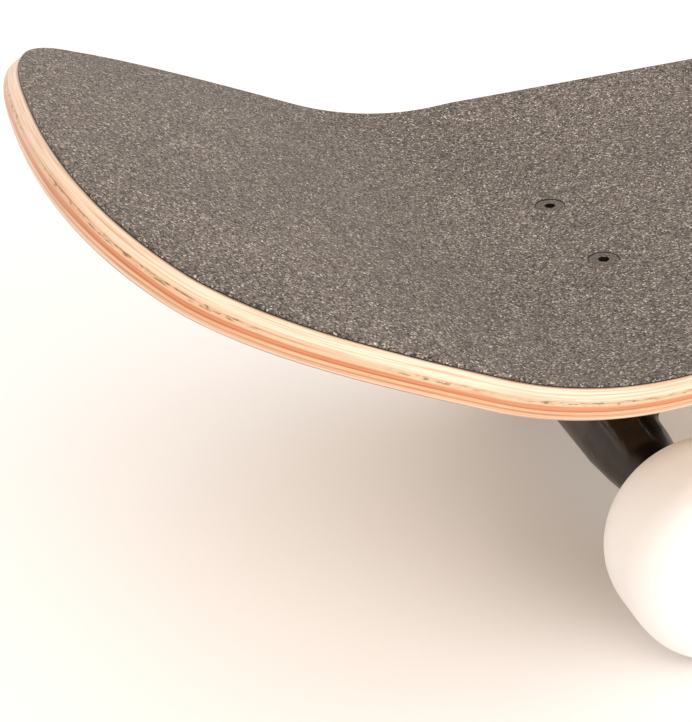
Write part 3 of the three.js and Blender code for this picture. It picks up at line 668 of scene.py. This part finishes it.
class DeckSettings(PropertyGroup):
    width: FloatProperty(name="Width", description="Across the middle of the deck",
                         default=205 * MM, unit="LENGTH")
    thickness: FloatProperty(name="Thickness", description="Seven plies of 1.3 mm",
                             default=9.1 * MM, unit="LENGTH")
    tail_length: FloatProperty(name="Tail", description="Outer bolt holes to the tail's end, along the wood",
                               default=174 * MM, unit="LENGTH")
    nose_length: FloatProperty(name="Nose", description="Outer bolt holes to the nose's end, along the wood",
                               default=179 * MM, unit="LENGTH")
    kick_start: FloatProperty(name="Kick start", description="Flat wood left outside the outer bolt holes",
                              default=5.3 * MM, unit="LENGTH")
    kick_radius: FloatProperty(name="Kick radius", description="Bend radius of the tail and the nose",
                               default=112 * MM, unit="LENGTH")
    kick_angle: FloatProperty(name="Kick angle", description="How steeply the ends rise",
                              default=math.radians(30.2), unit="ROTATION")
    concave: FloatProperty(name="Concave", description="How far the long edges rise above the middle",
                           default=7.1 * MM, unit="LENGTH")
    taper_start: FloatProperty(name="Taper start", description="Where the plan narrows, from the outer holes",
                               default=-32 * MM, unit="LENGTH")
    edge_round: FloatProperty(name="Edge round", description="How far the edge is sanded back at both faces",
                              default=2.2 * MM, unit="LENGTH")


class GripSettings(PropertyGroup):
    thickness: FloatProperty(name="Thickness", description="Paper, glue and grit together",
                             default=1.28 * MM, unit="LENGTH")
    grain: FloatProperty(name="Grain", description="Size of one grain of grit",
                         default=0.45 * MM, unit="LENGTH")


class BuildDeck(Operator):
    """Press the seven-ply maple deck, round its edge and bore the countersunk holes"""
    bl_idname = "skateboard.build_deck"
    bl_label = "Deck"

    def execute(self, context):
        deck = context.scene.skateboard_deck
        thick = deck.thickness
        top = [k / 13 for k in range(13)]
        rings = [(share, deck.edge_round, 0) for share in top]
        for k in range(21):
            depth = thick * (1 - math.cos(math.pi * k / 20)) / 2
            inset = deck.edge_round * abs(1 - 2 * depth / thick) ** 1.8
            rings.append((1, inset, depth))
        rings += [(share, deck.edge_round, thick) for share in reversed(top)]
        piece = pressed_sheet("maple_deck", deck, rings)
        piece = bored(piece, [
            (0, 4), (SINK_RADIUS, 4), (SINK_RADIUS, 0), (CLEARANCE_RADIUS, -2.5), (CLEARANCE_RADIUS, -14),
            (0, -14)], DECK_UNDER + thick)
        dressed(smooth(piece, 40), finish("maple", maple_plies, deck))
        finished(piece, "board", "maple_deck", "deck")
        return {"FINISHED"}


class BuildGrip(Operator):
    """Lay the grip sheet over the deck and cut its eight bolt holes"""
    bl_idname = "skateboard.build_grip"
    bl_label = "Grip sheet"

    def execute(self, context):
        deck, grip = context.scene.skateboard_deck, context.scene.skateboard_grip
        top = [k / 13 for k in range(13)]
        high, inset = -grip.thickness, deck.edge_round
        rings = [(share, inset, -0.02 * MM) for share in top]
        rings += [(1, inset, -0.02 * MM), (1, inset - 0.05 * MM, high * 0.5), (1, inset, high * 0.85),
                  (1, inset + 0.25 * MM, high * 0.97), (1, inset + 0.5 * MM, high)]
        rings += [(share, inset + 0.5 * MM, high) for share in reversed(top)]
        piece = pressed_sheet("grip_sheet", deck, rings)
        piece = bored(piece, [(0, 6), (4.7, 6), (4.7, -2), (0, -2)], DECK_UNDER + deck.thickness)
        dressed(smooth(piece, 40), finish("grip", grip_sheet, grip))
        finished(piece, "board", "grip_tape", "grip_tape")
        return {"FINISHED"}


# ---------------------------------------------------------------- bolts and nuts


def lock_nut(name, flats, bore, high, way_down=False):
    """A hexagon nut with both faces chamfered and a crimped collar that holds a nylon ring."""
    corner = flats / math.sqrt(3)
    six = 0.74 * high
    body = turned(name, rounded([
        (bore, 0.35), (bore + 0.35, 0), (0.475 * flats, 0), (corner + 0.1, 0.95), (corner + 0.1, six - 0.7),
        (0.47 * flats, six), (0.43 * flats, six + 0.1, 0.2), (0.42 * flats, high - 0.5, 0.8),
        (0.34 * flats, high, 0.3), (0.31 * flats, high - 0.35, 0.1), (bore, high - 0.35)], closed=True),
        steps=72, closed=True)
    combine(body, hexagon("stock", flats, -2, high + 2), "INTERSECT")
    dressed(smooth(body, 32), finish("zinc", zinc_steel))
    nylon = turned("nylon", rounded([
        (bore - 0.08, high - 1.6), (0.305 * flats, high - 1.6), (0.305 * flats, high - 0.3, 0.2),
        (bore - 0.08, high - 0.22, 0.3)], closed=True), steps=48, closed=True)
    dressed(smooth(nylon), finish("nylon", soft_urethane, "nylon_ring", "#20242a", "#2c3138", 0.4))
    return merged([body, nylon], name)


class BuildBolts(Operator):
    """Turn the eight countersunk mounting bolts with hexagon sockets, and their lock nuts"""
    bl_idname = "skateboard.build_bolts"
    bl_label = "Mounting bolts"

    def execute(self, context):
        top = DECK_UNDER + context.scene.skateboard_deck.thickness
        shank = thread(2.4, -24.9, -11, 0.8)
        bolt = turned("bolt", [(0, -25.35), (1.75, -25.35)] + shank + rounded([
            (2.38, -10.5), (2.38, -2.9, 0.3), (HEAD_RADIUS, -0.62, 0.15), (HEAD_RADIUS, HEAD_PROUD, 0.3),
            (0, HEAD_PROUD)]), steps=40)
        combine(bolt, hexagon("socket", 3.2, -1.5, 3), "DIFFERENCE")
        dressed(smooth(bolt, 30), finish("oxide", black_oxide))
        bolt.data.materials.append(finish("dust", dusty_oxide))
        for face in bolt.data.polygons:
            face.material_index = int(face.center.z > 0.7 * MM and face.normal.z > 0.2)
        nut = lock_nut("nut", 9.5, 2.42, 6)
        for end, number, x, y in bolt_places():
            piece = copied(bolt, f"countersunk_bolt_{end}_{number}", Matrix.Translation((x, y, top)))
            finished(piece, "board", "black_bolt", f"mounting_bolt_{end}_{number}")
            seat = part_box(f"lock_nut_{end}_{number}")[1].z
            piece = copied(nut, f"nylon_lock_nut_{end}_{number}", upright((0, 0, -1), (x, y, seat)))
            finished(piece, "board", "zinc_steel", f"lock_nut_{end}_{number}")
        bpy.data.objects.remove(bolt)
        bpy.data.objects.remove(nut)
        return {"FINISHED"}


# ---------------------------------------------------------------- trucks


class TruckSettings(PropertyGroup):
    skin: FloatProperty(name="Skin", description="Spacing of the fine mesh that the castings get",
                        default=0.85 * MM, unit="LENGTH")
    passes: IntProperty(name="Rounding", description="How often the castings' edges are eased", default=7)


def cast(node, name, truck):
    """A casting made from its CAD solid: merged, given a fine even skin and its edges eased."""
    focus(frame["nodes"][node])
    bpy.ops.object.duplicate(linked=False)
    piece = started(name)
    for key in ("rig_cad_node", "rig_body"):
        if key in piece:
            del piece[key]
    piece.parent = None
    with editing(piece):
        bpy.ops.mesh.remove_doubles(threshold=1e-5)
    modify(piece, "REMESH", mode="VOXEL", voxel_size=truck.skin)
    modify(piece, "SMOOTH", factor=0.5, iterations=truck.passes)
    piece.data.shade_smooth()
    return piece


class BuildBaseplates(Operator):
    """Cast the two baseplates that bolt to the deck"""
    bl_idname = "skateboard.build_baseplates"
    bl_label = "Baseplates"

    def execute(self, context):
        truck = context.scene.skateboard_truck
        for end, _ in ENDS:
            piece = cast(f"baseplate_{end}", f"cast_baseplate_{end}", truck)
            dressed(piece, finish("enamel", black_enamel))
            finished(piece, "board", "truck_black", f"baseplate_{end}")
        return {"FINISHED"}


class BuildHangers(Operator):
    """Cast the two hangers that carry the axles and steer"""
    bl_idname = "skateboard.build_hangers"
    bl_label = "Hangers"

    def execute(self, context):
        truck = context.scene.skateboard_truck
        for end, _ in ENDS:
            piece = cast(f"hanger_{end}", f"cast_hanger_{end}", truck)
            dressed(piece, finish("enamel", black_enamel))
            finished(piece, f"hanger_{end}", "truck_black", f"hanger_{end}")
        return {"FINISHED"}


class BuildKingpins(Operator):
    """Make what sits on each kingpin: the bolt, its lock nut, cup washers, bushings and pivot cup"""
    bl_idname = "skateboard.build_kingpins"
    bl_label = "Kingpins and bushings"

    def execute(self, context):
        zinc = finish("zinc", zinc_steel)
        rubber = finish("bushing", soft_urethane, "poured_bushing_urethane", "#141313", "#1e1c1b", 0.42)
        cup_rubber = finish("cup", soft_urethane, "pivot_cup_urethane", "#1a1a1b", "#232324", 0.55)
        head = -26.2  # underside of the kingpin's head
        pin = turned("pin", [(0, head - 0.6), (4.7, head - 0.6), (4.7, 13.5)] + thread(4.76, 14, 24.2, 1.2)
                     + [(4.1, 24.4), (3.4, 25), (0, 25)], steps=56)
        cap = turned("cap", rounded([
            (0, head - 4.8), (6.9, head - 4.8), (8.4, head - 4), (8.4, head), (0, head)]), steps=48)
        combine(cap, hexagon("stock", 14.3, head - 8, head + 3), "INTERSECT")
        pin = dressed(smooth(merged([pin, cap], "pin"), 32), zinc)
        nut = lock_nut("nut", 14.3, 4.8, 7)
        board_bushing = turned("bushing", rounded([
            (5.15, -2.3, 0.4), (12.3, -2.3, 0.7), (12.35, -5.4, 1.5), (11.7, -9.4, 2), (11.1, -13.6, 1.5),
            (10.8, -16.5, 0.8), (5.15, -16.5, 0.4)], closed=True), closed=True)
        road_bushing = turned("bushing", rounded([
            (5.15, 2.3, 0.4), (12.3, 2.3, 0.7), (12.2, 4.9, 1.2), (8.7, 12, 1), (8.0, 13, 0.4),
            (5.15, 13, 0.4)], closed=True), closed=True)
        washers = []
        for radius, near, way in ((12.6, -16.8, -1), (10, 13.3, 1)):
            washer = turned("washer", rounded([
                (5.0, near), (radius - 1.7, near, 0.6), (radius - 0.4, near - way * 1.4, 0.3),
                (radius + 0.6, near - way * 1.4, 0.3), (radius + 0.5, near + way * 0.6, 0.8),
                (radius - 1.2, near + way * 2, 0.8), (5.0, near + way * 2)], closed=True), closed=True)
            washers.append(dressed(smooth(washer), zinc))
        bowl = [(5.9 * math.cos(k * math.pi / 16), 5.9 * math.sin(k * math.pi / 16)) for k in range(9)]
        cup = turned("cup", rounded([(0, 7.7), (8, 7.7, 1), (8, -5.2, 0.2), (8.4, -6, 0.4), (5.95, -6, 0.4)])
                     + bowl, steps=64)
        for piece, look in ((board_bushing, rubber), (road_bushing, rubber), (cup, cup_rubber)):
            dressed(smooth(piece), look)
        pivot = upright(PIVOT_WAY, PIVOT_IN_TRUCK)
        for end, side in ENDS:
            at = kingpin_matrix(side)
            made = (
                (pin, "kingpin_bolt", at, "zinc_steel", "kingpin"),
                (nut, "kingpin_lock_nut", kingpin_matrix(side, 15.6), "zinc_steel", "kingpin_nut"),
                (washers[0], "board_cup_washer", at, "zinc_steel", "board_washer"),
                (washers[1], "road_cup_washer", at, "zinc_steel", "road_washer"),
                (board_bushing, "board_barrel_bushing", at, "bushing_urethane", "board_bushing"),
                (road_bushing, "road_cone_bushing", at, "bushing_urethane", "road_bushing"),
                (cup, "pivot_socket_cup", truck_matrix(side) @ pivot, "pivot_urethane", "pivot_cup"),
            )
            for source, name, matrix, slot, node in made:
                finished(copied(source, f"{name}_{end}", matrix), "board", slot, f"{node}_{end}")
        for source in (pin, nut, *washers, board_bushing, road_bushing, cup):
            bpy.data.objects.remove(source)
        return {"FINISHED"}


class BuildAxles(Operator):
    """Turn the axles with their threaded ends, and fit speed washers and lock nuts"""
    bl_idname = "skateboard.build_axles"
    bl_label = "Axles"

    def execute(self, context):
        zinc = finish("zinc", zinc_steel)
        end_thread = thread(3.97, 95.5, 102.9, 1.0)
        half = [(3.97, 95)] + end_thread + [(3.3, 103.1), (2.9, 103.5), (0, 103.5)]
        axle = turned("axle", [(r, -h) for r, h in reversed(half)] + half, steps=56)
        dressed(smooth(axle, 32), zinc)
        nut = lock_nut("nut", 12.7, 4.02, 6)
        washer = dressed(smooth(turned("washer", rounded([
            (4.15, -0.45, 0.1), (6.2, -0.45, 0.15), (6.2, 0.45, 0.15), (4.15, 0.45, 0.1)], closed=True),
            steps=56, closed=True)), zinc)
        spacer = dressed(smooth(turned("spacer", rounded([
            (4.2, -4.7, 0.3), (5.3, -4.7, 0.3), (5.3, 4.7, 0.3), (4.2, 4.7, 0.3)], closed=True),
            steps=48, closed=True)), zinc)
        for end, side in ENDS:
            body = f"hanger_{end}"
            piece = copied(axle, f"threaded_axle_{end}", axle_matrix(side, 0))
            finished(piece, body, "zinc_steel", f"axle_{end}")
            for hand, way in HANDS:
                place = f"{hand}_{end}"
                y = way * WHEEL_AT
                piece = copied(nut, f"axle_lock_nut_{place}", axle_matrix(side, y + way * 13.3 * MM, way))
                finished(piece, body, "zinc_steel", f"axle_nut_{place}")
                piece = copied(spacer, f"spacer_tube_{place}", axle_matrix(side, y))
                finished(piece, body, "zinc_steel", f"bearing_spacer_{place}")
                for word, off in (("inner", -12.52), ("outer", 12.6)):
                    matrix = axle_matrix(side, y + way * off * MM)
                    piece = copied(washer, f"speed_washer_{word}_{place}", matrix)
                    finished(piece, body, "zinc_steel")
        for source in (axle, nut, washer, spacer):
            bpy.data.objects.remove(source)
        return {"FINISHED"}


# ---------------------------------------------------------------- wheels


class WheelSettings(PropertyGroup):
    radius: FloatProperty(name="Radius", description="Half the wheel's diameter",
                          default=30 * MM, unit="LENGTH")
    width: FloatProperty(name="Width", description="Across the wheel, hub to hub",
                         default=43 * MM, unit="LENGTH")
    tread: FloatProperty(name="Tread", description="Flat part that rolls on the floor",
                         default=14.6 * MM, unit="LENGTH")


class BuildWheels(Operator):
    """Turn the four urethane wheels with their rounded lips and bearing seats"""
    bl_idname = "skateboard.build_wheels"
    bl_label = "Wheels"

    def execute(self, context):
        wheel = context.scene.skateboard_wheel
        r, half, tread = wheel.radius / MM, wheel.width / 2 / MM, wheel.tread / 2 / MM
        side = [
            (9.2, 4.7), (11.05, 4.7), (11.05, 12.6, 0.2), (13.4, 13, 0.3), (14.2, 13.6, 0.6),
            (0.57 * r, half - 1.2, 1.2), (0.62 * r, half, 0.9), (0.68 * r, half - 0.3, 0.9),
            (0.74 * r, 0.94 * half, 1.2), (0.88 * r, 0.8 * half, 3), (0.97 * r, 0.56 * half, 3),
            (r, tread, 3)]
        other = [(corner[0], -corner[1], *corner[2:]) for corner in reversed(side)]
        source = turned("wheel", rounded(side + other, closed=True, steps=6), steps=144, closed=True)
        dressed(smooth(source, 30), finish("wheel", wheel_urethane))
        for end, side_sign in ENDS:
            for hand, way in HANDS:
                place = f"{hand}_{end}"
                piece = copied(source, f"urethane_wheel_{place}", axle_matrix(side_sign, way * WHEEL_AT, way))
                finished(piece, f"wheel_{place}", "wheel_urethane", f"wheel_{place}")
        bpy.data.objects.remove(source)
        return {"FINISHED"}


class BuildBearings(Operator):
    """Build the eight ball bearings: outer race, inner race and two rubber shields each"""
    bl_idname = "skateboard.build_bearings"
    bl_label = "Bearings"

    def execute(self, context):
        steel = finish("race", race_steel)
        seal = finish("seal", soft_urethane, "black_shield_rubber", "#121214", "#1b1b1e", 0.5)
        races = []
        for bore, rim, bore_round, rim_round in ((9.4, 11, 0.15, 0.4), (4.02, 5.8, 0.35, 0.15)):
            race = turned("race", rounded([
                (bore, -3.5, bore_round), (rim, -3.5, rim_round), (rim, 3.5, rim_round),
                (bore, 3.5, bore_round)], closed=True), steps=72, closed=True)
            races.append(dressed(smooth(race), steel))
        shields = turned("shield", rounded([
            (5.82, -3.05), (6.3, -3.3, 0.2), (7.0, -3.0, 0.3), (8.7, -3.0, 0.3), (9.35, -3.3, 0.2),
            (9.38, -3.0), (9.38, 3.0), (9.35, 3.3, 0.2), (8.7, 3.0, 0.3), (7.0, 3.0, 0.3), (6.3, 3.3, 0.2),
            (5.82, 3.05)],
            closed=True), steps=72, closed=True)
        dressed(smooth(shields), seal)
        source = merged([*races, shields], "bearing")
        for end, side in ENDS:
            for hand, way in HANDS:
                for word, off in (("inner", -8.5), ("outer", 8.5)):
                    place = f"{word}_{hand}_{end}"
                    matrix = axle_matrix(side, way * (WHEEL_AT + off * MM), way)
                    piece = copied(source, f"ball_bearing_{place}", matrix)
                    finished(piece, f"wheel_{hand}_{end}", "bearing_steel", f"bearing_{place}")
        bpy.data.objects.remove(source)
        return {"FINISHED"}


# ---------------------------------------------------------------- stage


class StageSettings(PropertyGroup):
    wall: FloatVectorProperty(name="Surround", description="Colour of the light that comes from all round",
                              default=linear("#fffbf8")[:3], subtype="COLOR", size=3)
    glow: FloatProperty(name="Surround strength", description="Strength of that light", default=1.0)
    key: FloatProperty(name="Key light", description="Power of the large soft light in front",
                       default=17.0, unit="POWER")
    azimuth: FloatProperty(name="Camera azimuth", description="Where the camera stands round the board",
                           default=math.radians(-16.502), unit="ROTATION")
    elevation: FloatProperty(name="Camera elevation", description="How far the camera looks down",
                             default=math.radians(27.473), unit="ROTATION")
    roll: FloatProperty(name="Camera roll", description="Turn about the line of sight",
                        default=math.radians(-4.0), unit="ROTATION")
    distance: FloatProperty(name="Camera distance", description="Camera to the point it looks at",
                            default=539.718 * MM, unit="LENGTH")


def soft_light(name, size, power, place, target, colour):
    """A square area light at a place, turned to a target."""
    clear()
    bpy.ops.object.light_add(type="AREA", location=place)
    light = bpy.context.active_object
    light.name = name
    light.data.shape = "SQUARE"
    light.data.size = size
    light.data.energy = power
    light.data.color = linear(colour)[:3]
    light.rotation_euler = (Vector(target) - Vector(place)).to_track_quat("-Z", "Y").to_euler()
    return light


class BuildStage(Operator):
    """Set the pale floor, the soft lights and the camera"""
    bl_idname = "skateboard.build_stage"
    bl_label = "Stage"

    def execute(self, context):
        stage = context.scene.skateboard_stage
        clear()
        bpy.ops.mesh.primitive_circle_add(vertices=96, radius=7, fill_type="NGON")
        floor = started("studio_floor")
        with editing(floor, "FACE"):
            bpy.ops.mesh.inset(thickness=4.5)
            bpy.ops.mesh.inset(thickness=1.5)
        dressed(floor, studio_floor())

        world = bpy.data.worlds.new("studio_surround")
        context.scene.world = world
        world.use_nodes = True
        surround = world.node_tree.nodes["Background"]
        surround.inputs["Color"].default_value = (*stage.wall, 1)
        surround.inputs["Strength"].default_value = stage.glow
        soft_light("front_softbox", 1.4, stage.key, (0.5, -1.5, 0.7), (-0.2, 0, 0.03), "#fffbf8")
        soft_light("overhead_softbox", 1.6, stage.key * 0.4, (-0.5, -0.3, 1.6), (-0.2, 0, 0), "#fffbf8")

        context.scene.view_settings.view_transform = "Standard"

        target = Vector((MIDDLE, 0, 0)) + CAMERA_TARGET
        az, el, roll = stage.azimuth, stage.elevation, stage.roll
        back = Vector((math.sin(az) * math.cos(el), -math.cos(az) * math.cos(el), math.sin(el)))
        right = (-back).cross(Vector((0, 0, 1))).normalized()
        up = right.cross(-back)
        right, up = right * math.cos(roll) + up * math.sin(roll), up * math.cos(roll) - right * math.sin(roll)
        turn = Matrix((right, up, back)).transposed().to_4x4()
        clear()
        bpy.ops.object.camera_add()
        camera = bpy.context.active_object
        camera.name = "camera"
        camera.matrix_world = Matrix.Translation(target + back * stage.distance) @ turn
        camera.data.sensor_width = 36
        camera.data.sensor_fit = "AUTO"
        camera.data.lens = CAMERA_LENS
        camera.data.shift_x = CAMERA_SHIFT
        camera.data.shift_y = CAMERA_SHIFT
        camera.data.clip_start = 0.01
        context.scene.camera = camera
        return {"FINISHED"}


# ---------------------------------------------------------------- panel and running

BUILDERS = (BuildDeck, BuildGrip, BuildBolts, BuildBaseplates, BuildHangers, BuildKingpins, BuildAxles,
            BuildWheels, BuildBearings, BuildStage)
SETTINGS = {
    "skateboard_deck": DeckSettings,
    "skateboard_grip": GripSettings,
    "skateboard_truck": TruckSettings,
    "skateboard_wheel": WheelSettings,
    "skateboard_stage": StageSettings,
}


class SkateboardPanel(Panel):
    bl_idname = "VIEW3D_PT_skateboard"
    bl_label = "Skateboard"
    bl_space_type = "VIEW_3D"
    bl_region_type = "UI"
    bl_category = "Skateboard"

    def draw(self, context):
        for name, group in SETTINGS.items():
            box = self.layout.box()
            settings = getattr(context.scene, name)
            for key in group.__annotations__:
                box.prop(settings, key)
        for builder in BUILDERS:
            self.layout.operator(builder.bl_idname)


def register():
    for kind in (*SETTINGS.values(), *BUILDERS, SkateboardPanel):
        bpy.utils.register_class(kind)
    for name, group in SETTINGS.items():
        setattr(bpy.types.Scene, name, PointerProperty(type=group))


def unregister():
    for name in SETTINGS:
        delattr(bpy.types.Scene, name)
    for kind in (SkateboardPanel, *reversed(BUILDERS), *reversed(SETTINGS.values())):
        bpy.utils.unregister_class(kind)


def main():
    register()
    bpy.ops.skateboard.build_stage()
    bpy.ops.skateboard.build_deck()
    bpy.ops.skateboard.build_grip()
    bpy.ops.skateboard.build_bolts()
    bpy.ops.skateboard.build_baseplates()
    bpy.ops.skateboard.build_hangers()
    bpy.ops.skateboard.build_kingpins()
    bpy.ops.skateboard.build_axles()
    bpy.ops.skateboard.build_wheels()
    bpy.ops.skateboard.build_bearings()


if __name__ == "__main__":
    main()
